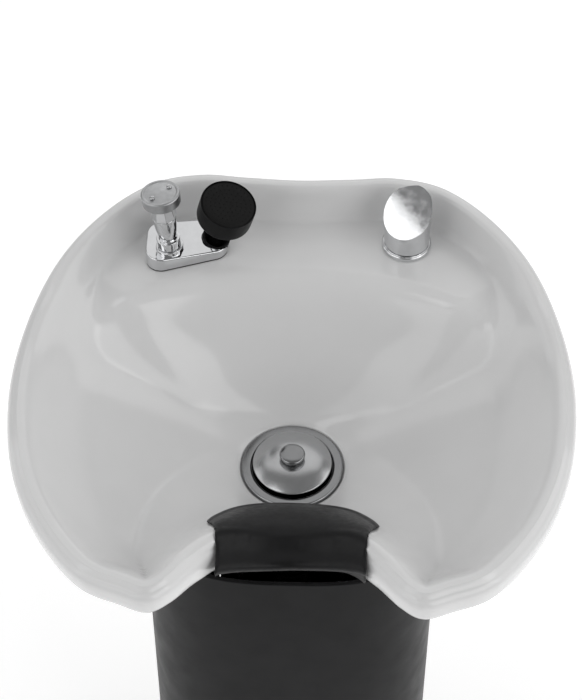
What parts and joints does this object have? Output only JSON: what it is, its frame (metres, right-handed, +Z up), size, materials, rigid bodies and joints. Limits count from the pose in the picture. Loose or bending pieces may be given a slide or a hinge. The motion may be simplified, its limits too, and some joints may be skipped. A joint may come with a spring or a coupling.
{
  "type": "shampoo backwash unit",
  "caption": "Salon shampoo backwash unit: white ceramic tilting bowl with black neck rest, spray, mixer and strainer on a black pedestal.",
  "frame": {"origin": "on the floor under the middle of the pedestal, which is also under the centre of the drain", "axes": "+Z up, +Y towards the mixer and spray at the rear, -Y towards the client's neck, +X to the right seen from the client's side"},
  "size_m": [0.608, 0.556, 1.0239],
  "materials": {
    "white_glaze": "gloss white glaze",
    "black_gel": "satin soft gel skin",
    "black_shell": "satin near-black",
    "chrome": "bright polished",
    "black_plastic": "satin black",
    "rubber": "matt black",
    "zinc": "zinc plated",
    "black_steel": "black powder coat",
    "steel": "brushed",
    "brass": "machined",
    "hose_braid": "woven stainless braid",
    "white_plastic": "moulded white",
    "red_plastic": "red grip",
    "blue_plastic": "blue grip"
  },
  "bodies": {
    "pedestal": {"pedestal_shell": "black_shell", "base_plate": "black_steel", "upright_left": "black_steel", "upright_right": "black_steel", "rear_crossbar": "black_steel", "hinge_pin_lower": "zinc", "hinge_pin_upper": "zinc", "lock_nut_left": "zinc", "lock_nut_right": "zinc", "valve_body_hot": "brass", "valve_body_cold": "brass", "trap_body": "white_plastic", "waste_pipe": "white_plastic", "drain_hose": "rubber", "supply_hose_hot": "hose_braid", "supply_hose_cold": "hose_braid"},
    "bowl": {"bowl": "white_glaze", "neck_rest": "black_gel", "drain_flange": "chrome", "drain_gasket": "rubber", "drain_locknut": "zinc", "drain_tailpiece": "zinc", "fixture_plate": "chrome", "plate_gasket": "rubber", "vacuum_breaker_body": "chrome", "vacuum_breaker_cap": "chrome", "cap_screw_1": "steel", "cap_screw_2": "steel", "breaker_lock_nut": "zinc", "hose_guide": "black_plastic", "guide_nut": "zinc", "mixer_base_ring": "chrome", "mixer_shank": "brass", "mixer_shank_nut": "zinc", "tilt_cradle": "black_steel", "cradle_bolt_1": "zinc", "cradle_bolt_2": "zinc", "cradle_bolt_3": "zinc", "cradle_bolt_4": "zinc", "pivot_bolt_left": "zinc", "pivot_bolt_right": "zinc", "friction_washer_left": "rubber", "friction_washer_right": "rubber", "mixed_water_hose": "hose_braid"},
    "door": {"access_door": "black_shell", "lock_housing": "chrome"},
    "door_lock": {"lock_plug": "zinc", "lock_tongue": "zinc"},
    "hot_valve_handle": {"valve_handle_hot": "red_plastic"},
    "cold_valve_handle": {"valve_handle_cold": "blue_plastic"},
    "strainer": {"strainer_cover": "chrome", "strainer_knob": "chrome", "strainer_basket": "chrome"},
    "spray": {"spray_head": "black_plastic", "spray_face": "rubber", "spray_stem": "hose_braid"},
    "mixer_upper": {"mixer_body": "chrome", "mixer_lever_pin": "steel"},
    "mixer_lever": {"mixer_lever": "chrome"},
    "poppet": {"breaker_poppet": "white_plastic"}
  },
  "joints": [
    {"name": "bowl_tilt", "type": "hinge", "parent": "pedestal", "child": "bowl", "pos_m": [0, 0, 0.738], "axis": [1, 0, 0], "range_deg": [0, 12], "deforming": ["drain_hose", "supply_hose_hot", "supply_hose_cold"]},
    {"name": "door_swing", "type": "hinge", "parent": "pedestal", "child": "door", "pos_m": [-0.106, 0.1505, 0.39], "axis": [0, 0, 1], "range_deg": [0, 100]},
    {"name": "door_lock_turn", "type": "hinge", "parent": "door", "child": "door_lock", "pos_m": [0.08, 0.15391, 0.39], "axis": [-0.2312, -0.9729, 0], "range_deg": [0, 90]},
    {"name": "hot_valve_turn", "type": "hinge", "parent": "pedestal", "child": "hot_valve_handle", "pos_m": [-0.06, 0.082, 0.34], "axis": [0, 1, 0], "range_deg": [0, 90]},
    {"name": "cold_valve_turn", "type": "hinge", "parent": "pedestal", "child": "cold_valve_handle", "pos_m": [0.06, 0.082, 0.34], "axis": [0, -1, 0], "range_deg": [0, 90]},
    {"name": "strainer_lift", "type": "slide", "parent": "bowl", "child": "strainer", "axis": [0, 0, 1], "range_m": [0, 0.06]},
    {"name": "spray_pull", "type": "slide", "parent": "bowl", "child": "spray", "axis": [0.2344, -0.1496, 0.9606], "range_m": [0, 0.08]},
    {"name": "mixer_swivel", "type": "hinge", "parent": "bowl", "child": "mixer_upper", "pos_m": [0.124, 0.213, 0.93], "axis": [0, 0, 1], "range_deg": [-45, 45]},
    {"name": "lever_lift", "type": "hinge", "parent": "mixer_upper", "child": "mixer_lever", "pos_m": [0.12971, 0.22578, 0.96788], "axis": [-0.9131, 0.4078, 0], "range_deg": [0, 18]},
    {"name": "poppet_lift", "type": "slide", "parent": "bowl", "child": "poppet", "axis": [-0.094, 0.07, 0.9931], "range_m": [0, 0.004]}
  ]
}
